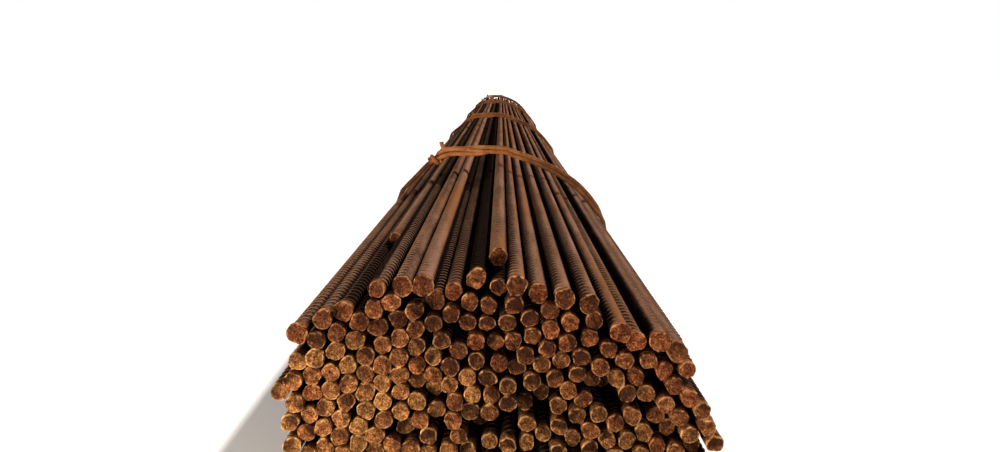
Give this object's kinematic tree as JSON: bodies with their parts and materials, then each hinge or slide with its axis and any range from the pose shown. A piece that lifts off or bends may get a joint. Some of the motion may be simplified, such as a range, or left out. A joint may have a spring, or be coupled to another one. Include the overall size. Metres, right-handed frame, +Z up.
{
  "type": "rebar bundle",
  "caption": "Bundle of straight rusty ribbed reinforcing bars of one length, stacked in a low mound and held together by loose doubled ties of wire rod.",
  "frame": {"origin": "middle of the footprint, on the floor under the ties", "axes": "+Y along the bars, away from the end seen in the picture; +Z up; +X to the right of someone looking at that end"},
  "size_m": [0.414, 6.27, 0.2542],
  "materials": {
    "rebar_steel": "hot-rolled ribbed steel, dry brown and orange rust all over, darker scale between the ribs",
    "tie_wire": "hot-rolled wire rod, bright orange rust"
  },
  "bodies": {
    "root": {"bars_top_1": "rebar_steel", "bars_top_2": "rebar_steel", "bars_top_3": "rebar_steel", "bars_top_4": "rebar_steel", "bars_top_5": "rebar_steel", "bars_side_left": "rebar_steel", "bars_side_right": "rebar_steel", "bars_bottom": "rebar_steel", "bars_core_1": "rebar_steel", "bars_core_2": "rebar_steel", "bars_core_3": "rebar_steel", "bars_core_4": "rebar_steel", "bars_core_5": "rebar_steel", "bars_core_6": "rebar_steel", "bars_core_7": "rebar_steel", "bars_core_8": "rebar_steel", "tie_wire_1": "tie_wire", "tie_wire_2": "tie_wire", "tie_wire_3": "tie_wire", "tie_wire_4": "tie_wire"}
  },
  "joints": []
}
